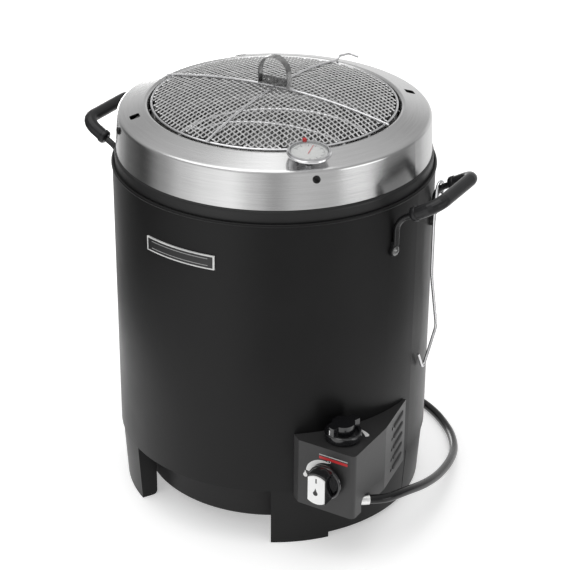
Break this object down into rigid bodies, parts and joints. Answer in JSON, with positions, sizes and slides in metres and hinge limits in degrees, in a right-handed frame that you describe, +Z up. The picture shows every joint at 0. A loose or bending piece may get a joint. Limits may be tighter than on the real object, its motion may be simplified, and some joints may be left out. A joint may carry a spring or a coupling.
{
  "type": "turkey fryer kit",
  "caption": "Upright oil-less gas turkey fryer: black pot on four sheet legs, steel top ring, mesh lid, wire basket, control box, hose and regulator.",
  "frame": {"origin": "on the pot's vertical axis at floor level, under the four feet", "axes": "+Z up, -Y the front with the open leg window, badge and knob panel, +X and -X through the two carrying handles"},
  "size_m": [0.541, 0.5007, 0.6052],
  "materials": {
    "black_powder_coat": "satin black powder coat, lightly textured",
    "brushed_steel": "brushed stainless steel",
    "zinc_steel": "plain zinc-plated steel",
    "black_oxide": "black oxide fastener",
    "chrome_wire": "bright plated wire",
    "white_plate": "printed badge plate, left blank",
    "cast_iron": "bare cast and welded burner",
    "brass": "turned brass",
    "ceramic_white": "white ceramic insulator",
    "wire_jacket": "grey high-temperature jacket",
    "black_gloss": "black moulded plastic",
    "grip_black": "black moulded heat-resistant plastic",
    "white_insert": "white marked insert",
    "hose_rubber": "black rubber gas hose",
    "crimp_metal": "crimped metal sleeve",
    "regulator_grey": "die-cast housing",
    "cap_red": "red plastic cap",
    "dial_white": "white printed dial",
    "pointer_red": "red enamel",
    "lens": "clear lens"
  },
  "bodies": {
    "pot": {"outer_shell": "black_powder_coat", "shoulder_collar": "black_powder_coat", "top_ring": "brushed_steel", "ring_screws": "black_oxide", "ring_brackets": "zinc_steel", "badge_plate": "white_plate", "cooking_chamber": "brushed_steel", "chamber_floor": "brushed_steel", "firebox_wall": "black_powder_coat", "firebox_floor": "black_powder_coat", "spacer_brackets": "zinc_steel", "leg_front_left": "black_powder_coat", "leg_front_right": "black_powder_coat", "leg_rear_left": "black_powder_coat", "leg_rear_right": "black_powder_coat", "leg_straps": "black_powder_coat", "burner_ring": "cast_iron", "burner_posts": "zinc_steel", "venturi_tube": "cast_iron", "igniter_electrode": "ceramic_white", "igniter_wire": "wire_jacket", "tray_rails": "zinc_steel", "control_box": "black_powder_coat", "box_screws": "black_oxide", "gas_valve": "brass", "igniter_module": "black_gloss", "hose_fitting": "brass", "gas_hose": "hose_rubber", "hose_ferrule_valve": "crimp_metal", "hose_ferrule_regulator": "crimp_metal", "regulator_body": "regulator_grey", "regulator_cap": "cap_red", "tank_nipple": "brass", "handle_rod_left": "black_oxide", "handle_rod_right": "black_oxide", "handle_grip_left": "grip_black", "handle_grip_right": "grip_black", "handle_bolts": "black_oxide"},
    "tray": {"grease_tray": "zinc_steel", "tray_handle": "black_oxide"},
    "basket": {"basket_rings": "chrome_wire", "basket_uprights": "chrome_wire", "basket_floor": "chrome_wire"},
    "bail": {"basket_bail": "chrome_wire"},
    "lid": {"lid_rim": "chrome_wire", "lid_cross_wires": "chrome_wire", "lid_mesh": "chrome_wire", "lid_handle": "brushed_steel"},
    "thermometer": {"thermometer_case": "brushed_steel", "thermometer_dial": "dial_white", "thermometer_lens": "lens"},
    "pointer": {"thermometer_pointer": "pointer_red"},
    "valve_spindle": {"valve_plunger": "brass"},
    "burner_knob": {"control_knob": "black_gloss", "knob_insert": "white_insert", "valve_stem": "brass"},
    "spark_knob": {"igniter_knob": "black_gloss", "igniter_spindle": "zinc_steel"},
    "hook": {"lifting_hook": "chrome_wire"},
    "coupling_nut": {"tank_nut": "black_gloss"}
  },
  "joints": [
    {"name": "tray_slide", "type": "slide", "parent": "pot", "child": "tray", "axis": [0, -1, 0], "range_m": [0, 0.2]},
    {"name": "basket_lift", "type": "slide", "parent": "pot", "child": "basket", "axis": [0, 0, 1], "range_m": [0, 0.4]},
    {"name": "bail_fold", "type": "hinge", "parent": "basket", "child": "bail", "pos_m": [0, 0, 0.478], "axis": [1, 0, 0], "range_deg": [0, 180]},
    {"name": "lid_lift", "type": "slide", "parent": "basket", "child": "lid", "axis": [0, 0, 1], "range_m": [0, 0.25]},
    {"name": "thermometer_pull", "type": "slide", "parent": "pot", "child": "thermometer", "axis": [0.0599, -0.0633, 0.9962], "range_m": [0, 0.13]},
    {"name": "thermometer_reading", "type": "hinge", "parent": "thermometer", "child": "pointer", "pos_m": [0.1278, -0.13514, 0.541], "axis": [-0.0599, 0.0633, -0.9962], "range_deg": [0, 240]},
    {"name": "valve_push", "type": "slide", "parent": "pot", "child": "valve_spindle", "axis": [0, 1, 0], "range_m": [0, 0.003], "stiffness_N_per_m": 600, "springref_m": -0.003},
    {"name": "burner_knob_turn", "type": "hinge", "parent": "valve_spindle", "child": "burner_knob", "pos_m": [0.184, -0.174, 0.127], "axis": [0, -1, 0], "range_deg": [0, 170]},
    {"name": "spark_knob_turn", "type": "hinge", "parent": "pot", "child": "spark_knob", "pos_m": [0.187, -0.141, 0.172], "axis": [0, 0, 1], "continuous": true},
    {"name": "hook_swing", "type": "hinge", "parent": "pot", "child": "hook", "pos_m": [0.2142, 0.05329, 0.4502], "axis": [1, 0, 0], "range_deg": [-8, 20]},
    {"name": "bottle_nut_spin", "type": "hinge", "parent": "pot", "child": "coupling_nut", "pos_m": [-0.144, 0.256, 0.0245], "axis": [1, 0, 0], "continuous": true}
  ]
}
